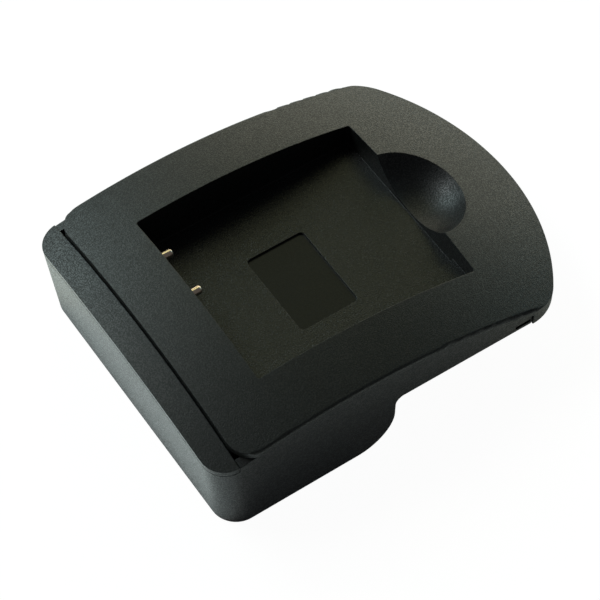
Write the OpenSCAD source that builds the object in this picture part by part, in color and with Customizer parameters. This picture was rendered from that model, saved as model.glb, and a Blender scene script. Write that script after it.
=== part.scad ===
// Travel charger for a camera battery: a crowned battery plate with its pocket
// and thumb scoop, clipped on a housing that has a fold-out mains plug below.
// The origin is under the middle of the whole length, on the surface that the
// housing stands on. +X runs from the rear shelf to the nose, +Z is up.

/* [Overall form] */
// Length of the plate ahead of the battery pocket
nose_l = 20.2; // [19:0.1:24]
// Width of the plate on each side of the pocket
side_w = 10; // [9:0.1:13]
// Distance of the highest point from the rear
crown_from_rear = 25.2; // [23:0.1:27]
// Radius of the crown along the length
crown_r = 113; // [108:1:125]
// Radius of the crown across the width
cross_r = 133; // [125:1:300]
// Plan radius of the nose
nose_r = 40; // [38:0.5:46]
// Plan radius that blends the nose into the sides
nose_blend_r = 8; // [5:0.5:10]

/* [Battery plate] */
// Thickness of the crowned skin
skin_t = 1.2; // [1:0.05:1.4]
// Radius of the long top edges
skin_edge_r = 0.6; // [0.3:0.05:0.9]
// Width of the shelf that is left bare behind the plate
shelf_w = 4.6; // [4:0.1:6]
// Gap between the plate and the shelf
plate_gap = 0.2; // [0.1:0.05:0.4]
// Plan radius of the plate's rear corners
plate_corner_r = 3; // [1.5:0.25:4]
// Depth of the shelf below the plate's surface
shelf_step = 1.0; // [0.7:0.05:1.1]
// Gap between the plate's edge and the housing's rim
seam = 0.15; // [0.1:0.05:0.3]
// Length of the nose skirt, measured back from the tip
skirt_l = 15.1; // [13:0.1:17]
// Width of the skirt's solid rim at the tip of the nose
skirt_rim = 5; // [4:0.25:7]
// Width of the skirt's wall beside the housing
skirt_t = 1.2; // [1:0.1:1.5]
// Height of the lip along the plate's rear edge
lip_h = 3.4; // [3:0.1:3.6]
// Thickness of that lip
lip_t = 1.2; // [1:0.1:1.6]
// Distance of each rear hook from the middle
hook_y = 19; // [18:0.5:20]
// Width of each rear hook
hook_w = 6; // [4:0.5:7]
// Thickness of each rear hook
hook_t = 1.1; // [0.9:0.1:1.2]
// Reach of each rear hook behind the lip
hook_l = 1.7; // [1.5:0.1:1.8]

/* [Battery pocket] */
// Length of the pocket
pocket_l = 42.3; // [40:0.1:43]
// Width of the pocket
pocket_w = 36; // [34:0.1:38]
// Distance of the pocket from the rear of the housing
pocket_from_rear = 14.5; // [14.4:0.1:15]
// Number of ribs under the skin on each side of the pocket
rib_count = 3; // [0:1:5]
// Thickness of those ribs
rib_t = 0.8; // [0.6:0.05:1.2]
// Depth of those ribs below the skin
rib_drop = 2.2; // [1:0.1:2.6]
// Depth of the pocket's floor below the top of the crown
pocket_depth = 10.3; // [9:0.1:12]
// Thickness of the pocket's floor
pocket_floor_t = 0.9; // [0.7:0.05:1]
// Thickness of the pocket's walls
pocket_wall = 1.2; // [1:0.05:1.5]
// Radius of the pocket's upright corners
pocket_corner_r = 0.5; // [0.3:0.05:0.8]
// Width of the rail along the near wall
rail_w = 5.5; // [3:0.1:6]
// Height of that rail above the floor
rail_h = 1.2; // [0.6:0.1:1.6]
// Length of the plain recess in the floor
recess_l = 11.2; // [8:0.1:14]
// Width of the plain recess in the floor
recess_w = 16.5; // [12:0.1:18]
// Depth of the plain recess
recess_d = 0.4; // [0.2:0.05:0.5]
// Distance of the recess from the pocket's rear wall
recess_from_wall = 14; // [12:0.1:16]
// Offset of the recess's middle towards the near wall
recess_shift = 1.45; // [0:0.05:1.6]

/* [Thumb scoop] */
// Radius of the scoop's dish
scoop_r = 12.05; // [11:0.05:12.5]
// Distance of the dish's centre ahead of the pocket
scoop_ahead = 1.9; // [1:0.1:2.5]
// Height of the dish's lowest point above the pocket's floor
scoop_above = 0.3; // [0.2:0.05:1]
// Thickness of the dish
scoop_t = 1.0; // [0.7:0.05:1.1]

/* [Contact pins] */
// Radius of a contact pin
pin_r = 0.75; // [0.6:0.05:0.8]
// Length of pin that shows in the pocket
pin_out = 2.6; // [2:0.1:3]
// Travel of a pin when a battery pushes it
pin_travel = 1.5; // [1:0.1:1.8]
// Distance of the pins' axes below the top of the crown
pin_below = 4.9; // [4.8:0.05:5.3]
// Distance of the outer pin from the middle
pin_a_y = 11.9; // [11:0.1:12.5]
// Distance of the inner pin from the middle
pin_b_y = 3.2; // [2:0.1:4]
// Running clearance round a pin
pin_clear = 0.05; // [0.02:0.01:0.08]
// Radius of the pin's flange
flange_r = 1.05; // [0.95:0.05:1.1]
// Length of the block that holds the springs
block_l = 5.3; // [5:0.1:5.6]
// Thickness of the contact strips
strip_t = 0.3; // [0.2:0.05:0.4]
// Width of the contact strips
strip_w = 2.4; // [2:0.1:3]
// Turns of each pin spring
spring_turns = 6; // [4:1:8]

/* [Housing] */
// Distance of the housing's side inside the plate's edge
base_reveal = 0.3; // [0.1:0.05:0.5]
// Thickness of the housing's walls
wall_t = 1.6; // [1.4:0.05:1.8]
// Thickness of the housing's floor
floor_t = 1.8; // [1.6:0.1:2]
// Length of the deep part of the housing at its top
deep_l = 34.6; // [34:0.1:36]
// Inward slope of the rear face, from top to bottom, in degrees
rear_slope = 6.5; // [4:0.1:7]
// Radius of the housing's upright rear corners
rear_corner_r = 4.5; // [3:0.1:5.5]
// Radius of the housing's lower front edge
toe_r = 7; // [5:0.1:8]
// Radius of the inner corner under the nose
throat_r = 1.6; // [0.8:0.1:2]
// Thickness of the nose's floor where it leaves the deep part
nose_floor_t = 1.3; // [1.2:0.05:1.8]
// Drop of the nose's underside from there to the tip
nose_drop = 0.7; // [0.3:0.05:1]
// Thickness of the shelf and its rim
shelf_t = 1.2; // [1:0.05:1.3]
// Thickness of the deck that the pocket rests over
deck_t = 1.0; // [0.8:0.05:1.1]
// Room between the circuit board and the deck
headroom = 1.3; // [1.1:0.05:2]

/* [Folding plug] */
// Distance between the middles of the two blades
blade_pitch = 12.7; // [12.5:0.1:12.9]
// Length of blade that shows
blade_l = 17.3; // [16:0.1:17.5]
// Width of a blade
blade_w = 6.3; // [6:0.1:6.5]
// Thickness of a blade
blade_t = 1.5; // [1.4:0.05:1.6]
// Radius of the barrel that carries the blades
barrel_r = 3.7; // [3.5:0.05:3.75]
// Clearance round the barrel in its well
barrel_clear = 0.3; // [0.25:0.05:0.35]
// Radius of the barrel's journals
journal_r = 1.5; // [1.2:0.05:1.8]
// Running clearance of the journals
journal_clear = 0.06; // [0.02:0.01:0.09]
// Height of the hinge axis
hinge_z = 4.0; // [3.95:0.05:4.1]
// Distance of the hinge axis from the middle
hinge_y = 8; // [7:0.1:8.5]
// Thickness of the well's walls
well_t = 1.2; // [1:0.05:1.3]

/* [Circuit] */
// Thickness of the circuit board
board_t = 1.0; // [0.8:0.1:1]
// Radius of the upright screw posts
post_r = 2.2; // [2:0.1:2.3]
// Gap between a screw post and the side wall
post_gap = 1.0; // [0.8:0.05:1.1]
// Radius of a screw's shank
screw_r = 0.95; // [0.8:0.05:1.1]
// Radius of a screw's head
screw_head_r = 1.8; // [1.6:0.1:1.9]
// Length of a screw's shank
screw_l = 7.6; // [6:0.1:8]
// Radius of the capacitors
cap_r = 2.5; // [2.2:0.1:2.5]
// Length of the output capacitor
output_l = 5.4; // [4:0.1:6]
// Radius of the safety capacitor's disc
disc_r = 3.1; // [2.5:0.1:3.2]
// Radius of the filter inductor
coil_r = 2.9; // [2.4:0.1:3]
// Length of the filter inductor
coil_l = 5.2; // [4:0.1:6]
// Length of the fuse resistor
fuse_l = 6.4; // [5:0.1:7]
// Radius of the fuse resistor
fuse_r = 1.25; // [1:0.05:1.3]
// Height of the flat packages on the board
chip_h = 0.9; // [0.7:0.05:1]
// Radius of the indicator lamp
lamp_r = 1.5; // [1.4:0.05:1.6]

/* [Hidden] */
$fn = 96;
fine = 240;
eps = 0.01;
big = 200;

// Gaps between pieces: where one rests over another, and under the board
rest_gap = 0.1;
hang_gap = 0.05;

// Overall length and width
length = pocket_from_rear + pocket_l + nose_l;
width = pocket_w + 2 * side_w;

// Heights, from the plug's well up through the board and deck to the crown
well_top = hinge_z + barrel_r + barrel_clear;
board_z = well_top + well_t;
board_top = board_z + board_t;
deck_z = board_top + headroom + deck_t;
tub_z = deck_z + rest_gap;
pocket_z = tub_z + pocket_floor_t;
top_h = pocket_z + pocket_depth;
pin_z = top_h - pin_below;
nose_root_z = deck_z - nose_floor_t;
nose_tip_z = nose_root_z - nose_drop;

// Places along X that follow from the lengths
rear_x = -length / 2;
tip_x = length / 2;
half_w = width / 2;
base_half = half_w - base_reveal;
shelf_x = rear_x + shelf_w;
plate_x = shelf_x + plate_gap;
skirt_x = tip_x - skirt_l;
deep_x = rear_x + deep_l;
pocket_x = rear_x + pocket_from_rear;
pocket_x1 = pocket_x + pocket_l;
pocket_half = pocket_w / 2;

// The crown is a revolve about an axis across the part, far below it
crown_x = rear_x + crown_from_rear;
crown_z = top_h - crown_r;
function crown_height(x, y, drop = 0) =
  let (reach = crown_r - cross_r + sqrt(pow(cross_r - drop, 2) - y * y))
  crown_z + sqrt(reach * reach - pow(x - crown_x, 2));

// Height of the shelf's rear edge, and where the sloping rear face meets the floor
shelf_edge_z = crown_height(rear_x, 0, shelf_step);
foot_x = rear_x + shelf_edge_z * tan(rear_slope);

// Plan of the nose: one large arc, blended into the straight sides
nose_cx = tip_x - nose_r;
blend_y = half_w - nose_blend_r;
blend_x = nose_cx + sqrt(pow(nose_r - nose_blend_r, 2) - blend_y * blend_y);
blend_angle = atan2(blend_y, blend_x - nose_cx);

// Places of the pocket, scoop and recess
tub_x = pocket_x - pocket_wall;
tub_x1 = pocket_x1 + pocket_wall;
scoop_x = pocket_x1 + scoop_ahead;
scoop_z = pocket_z + scoop_above + scoop_r;
recess_x = pocket_x + recess_from_wall;
recess_corner_r = 0.8;

// Places of the rear hooks, and the windows that they reach through
lip_side = 1.5;
lip_half = half_w - wall_t - lip_side;
lip_z = crown_height(plate_x, hook_y) - skin_t - lip_h;
hook_rise = 0.2;
hook_z = lip_z + hook_rise;
window_clear = 0.4;
cover_wall_t = 1.3;
cover_wall_x = shelf_x - cover_wall_t;

// The ribs reach from the pocket's wall to just inside the housing's wall
rib_clear = 0.5;
rib_y = pocket_half + pocket_wall;
rib_l = base_half - wall_t - rib_clear - rib_y;
rib_pitch = pocket_l / max(rib_count, 1);

// Slots in the housing's side walls, and the plate's guide fingers behind them
slot_l = 3.0;
slot_h = 0.8;
slot_ahead = 0.4;
slot_rise = 0.6;
slot_x = skirt_x - slot_l - slot_ahead;
slot_z = nose_under(skirt_x) + slot_rise;
guide_t = 1.1;
guide_clear = 0.15;
guide_swing = 0.6;

// Places of the contact parts behind the pocket's rear wall
contact_x = tub_x - block_l;
foot_rise = 2.0;
foot_l = 3.2;
foot_z = deck_z + foot_rise;
block_side = 2.2;
finger_l = 2.6;
spring_clear = 0.1;
bore_r = flange_r + spring_clear;
bore_wall = 0.4;
block_z = foot_z + strip_t;
block_top = pin_z + bore_r + bore_wall;
finger_room = 0.3;
pin_ys = [pin_a_y, pin_b_y];
pin_tip_x = pocket_x + pin_out;
flange_l = 0.5;

// Places of the plug's well and the board above it
blade_edge = 1.2;
blade_tail = barrel_r - 0.3;
blade_chamfer = 1.6;
blade_hole_r = 1.6;
blade_hole_in = 3.2;
tip_room = 1.2;
blade_root = 1.2;
barrel_half = (blade_pitch + blade_t) / 2 + blade_edge;
well_half = barrel_half + barrel_clear;
well_x = (foot_x + deep_x - toe_r) / 2;
well_y1 = hinge_y + barrel_r + barrel_clear;
blade_end_y = hinge_y - barrel_r - blade_l;
well_y0 = blade_end_y - tip_room;
lug_w = 2;
lug_l = 4;
lug_clear = 0.1;
post_y = base_half - wall_t - post_r - post_gap;
post_xs = [well_x - well_half - 0.2, well_x + well_half + 1.2];
boss_h = 2.2;
boss_wall = 0.4;
boss_top = floor_t + boss_h;
head_h = 1.3;
head_sunk = 0.5;
head_clear = 0.2;
shank_clear = 0.15;
thread_clear = 0.05;
drive_l = 2.4;
drive_w = 0.5;
lamp_flange = 0.3;
lamp_flange_t = 1.0;
lamp_clear = 0.05;
lamp_reach = wall_t + 2.4;
lamp_dome = 0.8;
lamp_x = post_xs[1] + post_r + lamp_r + lamp_flange + 0.8;
lamp_z = board_z - lamp_r - lamp_flange - hang_gap;

black = [0.09, 0.10, 0.11];
nickel = [0.78, 0.74, 0.66];
brass = [0.80, 0.64, 0.30];
ferrite = [0.20, 0.20, 0.22];
sleeve = [0.10, 0.16, 0.30];

// Cross-section of the crown, from the axis out, with rounded long edges
module crown_profile(drop, half, edge) {
  middle = crown_r - cross_r;
  fillet_reach = cross_r - drop - edge;
  fillet_y = half - edge;
  fillet_x = middle + sqrt(pow(fillet_reach, 2) - fillet_y * fillet_y);
  slant = asin(fillet_y / fillet_reach);
  low = crown_r - 2 * top_h;
  intersection() {
    translate([middle, 0]) circle(r = cross_r - drop, $fn = 2 * fine);
    translate([low, -half]) square([big, 2 * half]);
    if (edge > 0)
      polygon([[middle, 0], [middle + big * cos(slant), big * sin(slant)],
        [middle + big * cos(slant), -big * sin(slant)]]);
  }
  if (edge > 0) {
    for (s = [-1, 1]) translate([fillet_x, s * fillet_y]) circle(r = edge, $fn = 48);
    translate([low, -half]) square([fillet_x - low, 2 * half]);
  }
}

// Everything under the crowned surface, lowered by a drop
module under_crown(drop = 0, half = half_w, edge = 0)
  translate([crown_x, 0, crown_z]) rotate([90, 0, 0]) rotate([0, 0, 50])
    rotate_extrude(angle = 80, $fn = fine) crown_profile(drop, half, edge);

// Plan outline, inset all round, from a given rear end
module plan(inset, from_x, corner_r) {
  half = half_w - inset;
  translate([from_x + corner_r, -half]) square([blend_x - from_x - corner_r, 2 * half]);
  if (corner_r > 0) {
    translate([from_x, corner_r - half]) square([corner_r + eps, 2 * (half - corner_r)]);
    for (s = [-1, 1]) translate([from_x + corner_r, s * (half - corner_r)]) circle(r = corner_r);
  }
  nose_plan(nose_r - inset, nose_blend_r - inset);
}

// The nose's own part of the plan
module nose_plan(arc_r, corner_r) {
  intersection() {
    translate([nose_cx, 0]) circle(r = arc_r, $fn = fine);
    polygon([[nose_cx, 0], [nose_cx + big * cos(blend_angle), big * sin(blend_angle)],
      [nose_cx + big * cos(blend_angle), -big * sin(blend_angle)]]);
  }
  for (s = [-1, 1]) translate([blend_x, s * blend_y]) circle(r = corner_r);
}

// Height of the nose's sloping underside at a place along X
function nose_under(x) =
  nose_root_z + (nose_tip_z - nose_root_z) * (x - deep_x) / (tip_x - deep_x);

// Side view of the housing, inset all round
module side_view(inset, floor_inset, under_inset) {
  toe = toe_r - inset;
  front = deep_x - inset;
  difference() {
    union() {
      translate([rear_x - 1, floor_inset]) square([front - toe - rear_x + 1, big]);
      translate([rear_x, floor_inset + toe]) square([front - rear_x, big]);
      translate([front - toe, floor_inset + toe]) circle(r = toe);
      polygon([[front - eps, nose_under(front) + under_inset],
        [tip_x + 1, nose_under(tip_x + 1) + under_inset], [tip_x + 1, big], [front - eps, big]]);
      if (inset == 0)
        translate([front - eps, nose_root_z - throat_r]) square([throat_r, throat_r + 1]);
    }
    if (inset == 0) translate([front + throat_r, nose_root_z - throat_r]) circle(r = throat_r);
  }
}

// The sloping rear face with its two upright rounded corners
module rear_wrap(inset) {
  half = base_half - inset;
  corner_r = rear_corner_r - inset;
  translate([rear_x, 0, shelf_edge_z]) rotate([0, -rear_slope, 0]) translate([inset, 0, -big / 2])
    linear_extrude(big) {
      translate([corner_r, -half]) square([big, 2 * half]);
      translate([0, corner_r - half]) square([big, 2 * (half - corner_r)]);
      for (s = [-1, 1]) translate([corner_r, s * (half - corner_r)]) circle(r = corner_r);
    }
}

// A side view pushed through the whole width
module across(half) rotate([90, 0, 0]) linear_extrude(2 * half, center = true) children();

// Straight sided space of the housing, as wide as the rim allows
module housing_space(inset, floor_inset, under_inset) intersection() {
  across(base_half - inset) side_view(inset, floor_inset, under_inset);
  rear_wrap(inset);
  linear_extrude(big) union() {
    translate([rear_x - 1, -base_half]) square([skirt_x - seam - rear_x + 1 - inset, width]);
    intersection() {
      plan(skirt_t + seam + inset, rear_x, 0);
      translate([nose_cx, 0]) circle(r = nose_r - skirt_rim - inset, $fn = fine);
    }
  }
}

// The rim follows the crown, one step lower where the shelf lies on it
module housing_top(drop) {
  intersection() {
    under_crown(drop + shelf_step, half_w + 1);
    translate([rear_x - 1, -half_w, -1]) cube([shelf_w + 1 + seam + eps, width, big]);
  }
  intersection() {
    under_crown(drop, half_w + 1);
    translate([shelf_x + seam, -half_w, -1]) cube([length, width, big]);
  }
}

module screw_places() for (x = post_xs, s = [-1, 1]) translate([x, s * post_y, 0]) children();

// Open well in the underside that the folded plug lies in
module well_outside() translate([well_x - well_half - well_t, well_y0 - well_t, 0])
  cube([2 * (well_half + well_t), well_y1 - well_y0 + 2 * well_t, board_z]);

module well_inside() {
  translate([well_x - well_half, well_y0, -1])
    cube([2 * well_half, well_y1 - well_y0, well_top + 1]);
  translate([well_x - well_half - well_t - 1, hinge_y, hinge_z]) rotate([0, 90, 0])
    cylinder(r = journal_r + journal_clear, h = 2 * (well_half + well_t + 1));
  for (s = [-1, 1])
    translate([well_x + s * blade_pitch / 2, hinge_y, well_top + well_t / 2])
      cube([lug_w + 2 * lug_clear, lug_l + 2 * lug_clear, well_t + 2], center = true);
}

module lower_shell() color(black) difference() {
  union() {
    difference() {
      intersection() {
        housing_space(0, 0, 0);
        housing_top(skin_t + seam);
      }
      difference() {
        intersection() {
          housing_space(wall_t, floor_t, deck_z - nose_root_z);
          union() {
            translate([rear_x, -half_w, 0]) cube([deep_l + eps, width, big]);
            translate([rear_x, -half_w, deck_z]) cube([length, width, big]);
          }
        }
        well_outside();
      }
    }
    screw_places() cylinder(r = post_r + boss_wall, h = boss_top);
  }
  well_inside();
  screw_places() {
    translate([0, 0, -1]) cylinder(r = screw_head_r + head_clear, h = 1 + floor_t + head_h - head_sunk);
    cylinder(r = screw_r + shank_clear, h = boss_top + 1);
  }
  translate([lamp_x, base_half - wall_t - 1, lamp_z]) rotate([-90, 0, 0])
    cylinder(r = lamp_r + lamp_clear, h = wall_t + 2);
  for (s = [0, 1]) mirror([0, s, 0]) {
    translate([slot_x, -base_half - 1, slot_z]) cube([slot_l, wall_t + 2, slot_h]);
    translate([slot_x, wall_t - base_half - guide_clear, slot_z])
      cube([slot_l, guide_t + 3 * guide_clear, big]);
  }
}

module upper_cover() color(black) difference() {
  union() {
    intersection() {
      difference() {
        under_crown(shelf_step, half_w + 1);
        under_crown(shelf_step + shelf_t, half_w + 1);
      }
      rear_wrap(0);
      translate([rear_x - 1, -half_w, 0]) cube([shelf_w + 1, width, big]);
    }
    intersection() {
      union() {
        translate([cover_wall_x, -half_w, deck_z - deck_t]) cube([shelf_x - cover_wall_x, width, big]);
        translate([cover_wall_x, -half_w, deck_z - deck_t])
          cube([deep_x - wall_t - seam - cover_wall_x, width, deck_t]);
      }
      under_crown(shelf_step + shelf_t / 2, half_w);
      rear_wrap(wall_t + seam);
    }
    screw_places() translate([0, 0, boss_top + rest_gap])
      cylinder(r = post_r, h = deck_z - deck_t / 2 - boss_top - rest_gap);
  }
  screw_places() cylinder(r = screw_r + thread_clear, h = floor_t + screw_l + 1);
  for (s = [-1, 1]) translate([shelf_x, s * hook_y, hook_z + hook_t / 2])
    cube([4 * cover_wall_t, hook_w + 2 * window_clear, hook_t + 2 * window_clear], center = true);
  for (y = pin_ys) translate([contact_x + finger_l / 2, y, deck_z - deck_t / 2])
    cube([finger_l + 4 * finger_room, strip_w + 2 * finger_room, deck_t + 2], center = true);
}

// The pocket's walls and floor, before it is hollowed
module tub_outside() translate([tub_x, -pocket_half - pocket_wall, tub_z])
  cube([tub_x1 - tub_x, pocket_w + 2 * pocket_wall, top_h]);

// Room for the battery: full width over the rail, with the recess in the floor
module pocket_space() {
  translate([pocket_x, rail_w - pocket_half, pocket_z]) linear_extrude(top_h)
    rounded_slab(pocket_l, pocket_w - rail_w, pocket_corner_r);
  translate([pocket_x, -pocket_half, pocket_z + rail_h]) linear_extrude(top_h)
    rounded_slab(pocket_l, pocket_w, pocket_corner_r);
  translate([recess_x, -recess_shift - recess_w / 2, pocket_z - recess_d]) linear_extrude(top_h)
    rounded_slab(recess_l, recess_w, recess_corner_r);
}

module rounded_slab(l, w, r) {
  translate([r, 0]) square([l - 2 * r, w]);
  translate([0, r]) square([l, w - 2 * r]);
  for (x = [r, l - r], y = [r, w - r]) translate([x, y]) circle(r = r, $fn = 32);
}

module battery_plate() color(black) difference() {
  union() {
    // Crowned skin, and the skirt that wraps the front of the housing
    difference() {
      intersection() {
        under_crown(0, half_w, skin_edge_r);
        linear_extrude(big) plan(0, plate_x, plate_corner_r);
        across(half_w) polygon([[plate_x, nose_under(plate_x)],
          [tip_x, nose_under(tip_x)], [tip_x, big], [plate_x, big]]);
      }
      difference() {
        under_crown(skin_t, half_w + 1);
        difference() {
          translate([skirt_x, -half_w, 0]) cube([skirt_l, width, big]);
          linear_extrude(big) intersection() {
            plan(skirt_t, rear_x, 0);
            translate([nose_cx, 0]) circle(r = nose_r - skirt_rim + 0.2, $fn = fine);
          }
        }
      }
    }
    intersection() {
      under_crown(skin_t / 2, half_w);
      union() {
        tub_outside();
        translate([scoop_x, 0, scoop_z]) sphere(r = scoop_r + scoop_t);
      }
      translate([tub_x, -half_w, tub_z]) cube([length, width, big]);
    }
    // Lip and hooks along the rear edge
    intersection() {
      under_crown(skin_t / 2, half_w);
      translate([plate_x, -lip_half, lip_z]) cube([lip_t, 2 * lip_half, big]);
    }
    for (s = [-1, 1]) translate([plate_x - hook_l, s * hook_y - hook_w / 2, hook_z])
      cube([hook_l + eps, hook_w, hook_t]);
    for (s = [0, 1]) mirror([0, s, 0]) {
      guide_finger();
      stiffening_ribs();
    }
  }
  pocket_space();
  translate([scoop_x, 0, scoop_z]) sphere(r = scoop_r);
  for (y = pin_ys) translate([tub_x - 1, y, pin_z]) rotate([0, 90, 0])
    cylinder(r = pin_r + pin_clear, h = pocket_wall + 2);
}

// Cross ribs that keep the skin stiff between the pocket and the housing's side
module stiffening_ribs() if (rib_count > 0) intersection() {
  difference() {
    under_crown(skin_t / 2, half_w);
    under_crown(skin_t + rib_drop, half_w + 1);
  }
  for (i = [0:rib_count - 1])
    translate([pocket_x + (i + 0.5) * rib_pitch - rib_t / 2, -rib_y - rib_l, 0])
      cube([rib_t, rib_l + eps, big]);
}

// Finger that steadies the plate beside the wall, with room ahead for its arc
module guide_finger() intersection() {
  translate([slot_x + guide_clear, wall_t - base_half + guide_clear, slot_z + guide_clear])
    cube([slot_l - guide_clear - guide_swing, guide_t, big]);
  under_crown(skin_t / 2, half_w);
}

module contact_block() color([0.16, 0.16, 0.17]) difference() {
  translate([contact_x, pin_b_y - block_side, block_z])
    cube([block_l, pin_a_y - pin_b_y + 2 * block_side, block_top - block_z]);
  for (y = pin_ys) translate([contact_x - 1, y, pin_z]) rotate([0, 90, 0])
    cylinder(r = bore_r, h = block_l + 2);
}

// Strip behind the spring, with a foot that meets the finger below
module plate_terminal(y) color(brass) translate([contact_x - strip_t, y - strip_w / 2, foot_z]) {
  cube([strip_t, strip_w, block_top - foot_z]);
  cube([foot_l, strip_w, strip_t]);
}

module plate_terminal_a() plate_terminal(pin_a_y);
module plate_terminal_b() plate_terminal(pin_b_y);

// Domed pin with the flange that stops it behind the wall
module contact_pin(y) color(nickel) translate([tub_x - flange_l, y, pin_z]) rotate([0, 90, 0])
  rotate_extrude() {
    square([flange_r, flange_l]);
    square([pin_r, pin_tip_x - pin_r - tub_x + flange_l]);
    translate([0, pin_tip_x - pin_r - tub_x + flange_l]) intersection() {
      circle(r = pin_r, $fn = 48);
      square([pin_r, pin_r]);
    }
  }

module contact_pin_a() contact_pin(pin_a_y);
module contact_pin_b() contact_pin(pin_b_y);

// Helical spring between the block's rear strip and the pin's flange
module pin_spring(y) {
  wire_r = 0.12;
  turn_r = flange_r - wire_r - 0.08;
  end_gap = 0.02;
  span = block_l - flange_l - 2 * wire_r - 2 * end_gap;
  steps = spring_turns * 14;
  sides = 6;
  function ring(i) = let (a = 360 * spring_turns * i / steps)
    [for (k = [0:sides - 1]) let (q = 360 * k / sides, d = turn_r + wire_r * cos(q))
      [wire_r + end_gap + span * i / steps + wire_r * sin(q), d * cos(a), d * sin(a)]];
  points = [for (i = [0:steps]) each ring(i)];
  faces = concat([[for (k = [0:sides - 1]) k]],
    [for (i = [0:steps - 1], k = [0:sides - 1]) let (n = (k + 1) % sides)
      [i * sides + n, i * sides + k, (i + 1) * sides + k, (i + 1) * sides + n]],
    [[for (k = [sides - 1:-1:0]) steps * sides + k]]);
  color(nickel) translate([contact_x, y, pin_z]) polyhedron(points, faces, convexity = 6);
}

module pin_spring_a() pin_spring(pin_a_y);
module pin_spring_b() pin_spring(pin_b_y);

// Bent spring strip that stands on the board and meets the plate's foot
module base_finger(y) color(brass) translate([contact_x, y + strip_w / 2, board_top])
  rotate([90, 0, 0]) linear_extrude(strip_w) {
    reach = foot_z - rest_gap - board_top;
    tongue_l = finger_l - 0.4;
    square([finger_l, strip_t]);
    translate([finger_l - strip_t, 0]) square([strip_t, reach]);
    translate([finger_l - tongue_l, reach - strip_t]) square([tongue_l, strip_t]);
  }

module base_finger_a() base_finger(pin_a_y);
module base_finger_b() base_finger(pin_b_y);

board_x = rear_x + 5.0;
board_x1 = deep_x - wall_t - 0.6;
board_half = base_half - wall_t - 1;
notch_r = post_r + 0.3;

// The board has open notches for the posts, and a slot between mains and output
module main_board() color([0.13, 0.33, 0.20]) difference() {
  translate([board_x, -board_half, board_z])
    cube([board_x1 - board_x, 2 * board_half, board_t]);
  translate([well_x, trafo_y, board_z + board_t / 2])
    cube([creepage_l, creepage_w, board_t + 2], center = true);
  screw_places() translate([0, 0, board_z - 1]) cylinder(r = notch_r, h = board_t + 2);
  for (s = [0, 1]) mirror([0, s, 0]) translate([0, post_y, board_z - 1]) {
    translate([post_xs[0] - width, -notch_r, 0]) cube([width + notch_r, width, board_t + 2]);
    translate([post_xs[1] - notch_r, 0, 0]) cube([2 * notch_r, width, board_t + 2]);
  }
}

// The transformer hangs under the board on the far side of the well
creepage_l = 8;
creepage_w = 1;
trafo_l = 12.4;
trafo_w = 5;
trafo_h = board_z - floor_t - 4 * rest_gap;
trafo_leg = 4.2;
trafo_window = 2.6;
trafo_yoke = 1.6;
former_t = 0.35;
trafo_y = (well_y1 + well_t + board_half) / 2 + 0.2;
former_clear = 0.05;
coil_h = trafo_h - 2 * trafo_yoke - 2 * former_clear;

module at_transformer() translate([well_x, trafo_y, board_z - trafo_h / 2]) children();

module transformer_core() color(ferrite) at_transformer() difference() {
  cube([trafo_l, trafo_w, trafo_h], center = true);
  for (s = [-1, 1]) translate([s * (trafo_leg + trafo_window) / 2, 0, 0])
    cube([trafo_window, trafo_w + 1, trafo_h - 2 * trafo_yoke], center = true);
}

// Layers of the coil former and winding are square rings round the core's leg
module leg_ring(inner, outer, h) difference() {
  cube([trafo_leg + 2 * outer, trafo_w + 2 * outer, h], center = true);
  cube([trafo_leg + 2 * inner, trafo_w + 2 * inner, h + 1], center = true);
}

module transformer_bobbin() color([0.75, 0.72, 0.62]) at_transformer() {
  leg_ring(former_clear, former_t, coil_h);
  for (s = [-1, 1]) translate([0, 0, s * (coil_h - former_t) / 2])
    leg_ring(former_clear, trafo_window - 2 * former_clear, former_t);
}

module transformer_winding() color([0.85, 0.68, 0.20]) at_transformer()
  leg_ring(former_t, trafo_window - 0.3, coil_h - 2 * former_t);

// A can with a rolled groove and a slightly sunk top, along Z
module can(r, h) {
  groove_r = 0.4;
  groove_up = 1.4;
  rim = 0.5;
  sunk = 0.2;
  rotate_extrude() difference() {
    square([r, h]);
    translate([r + groove_r / 3, groove_up]) circle(r = groove_r, $fn = 24);
    translate([0, h - sunk]) square([r - rim, 1]);
  }
}

// The two long capacitors lie end to end between the screw posts
bulk_l = (post_xs[1] - post_xs[0]) / 2 - post_r - 0.5;
bulk_apart = 0.2;

module bulk_capacitor(x) color(sleeve)
  translate([x, well_y0 - well_t - cap_r - rest_gap, board_z - cap_r - hang_gap]) rotate([0, 90, 0])
    can(cap_r, bulk_l);

module bulk_capacitor_a() bulk_capacitor((post_xs[0] + post_xs[1]) / 2 - bulk_l - bulk_apart);
module bulk_capacitor_b() bulk_capacitor((post_xs[0] + post_xs[1]) / 2 + bulk_apart);

// Small parts ahead of the well hang under the board, one behind the other
bay_x = (well_x + well_half + well_t + deep_x - wall_t) / 2;
output_y = well_y1 - 1;
disc_y = output_y - cap_r - disc_r - 2.9;
coil_y = disc_y - disc_r - coil_r - 2.5;
fuse_y = coil_y - coil_r - fuse_l / 2 - 3.9;

module output_capacitor() color(sleeve)
  translate([bay_x, output_y, board_z - hang_gap]) mirror([0, 0, 1]) can(cap_r, output_l);

disc_t = 2.6;
disc_edge = 0.15;

module safety_capacitor() color([0.14, 0.35, 0.62]) translate([bay_x, disc_y, board_z - disc_r - rest_gap])
  rotate([0, 90, 0]) intersection() {
    cylinder(r = disc_r, h = disc_t, center = true);
    sphere(r = disc_r + disc_edge);
  }

// A drum with a flange at each end and the wire's groove between them
drum_flange = 1;
drum_groove = 1.2;

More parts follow.
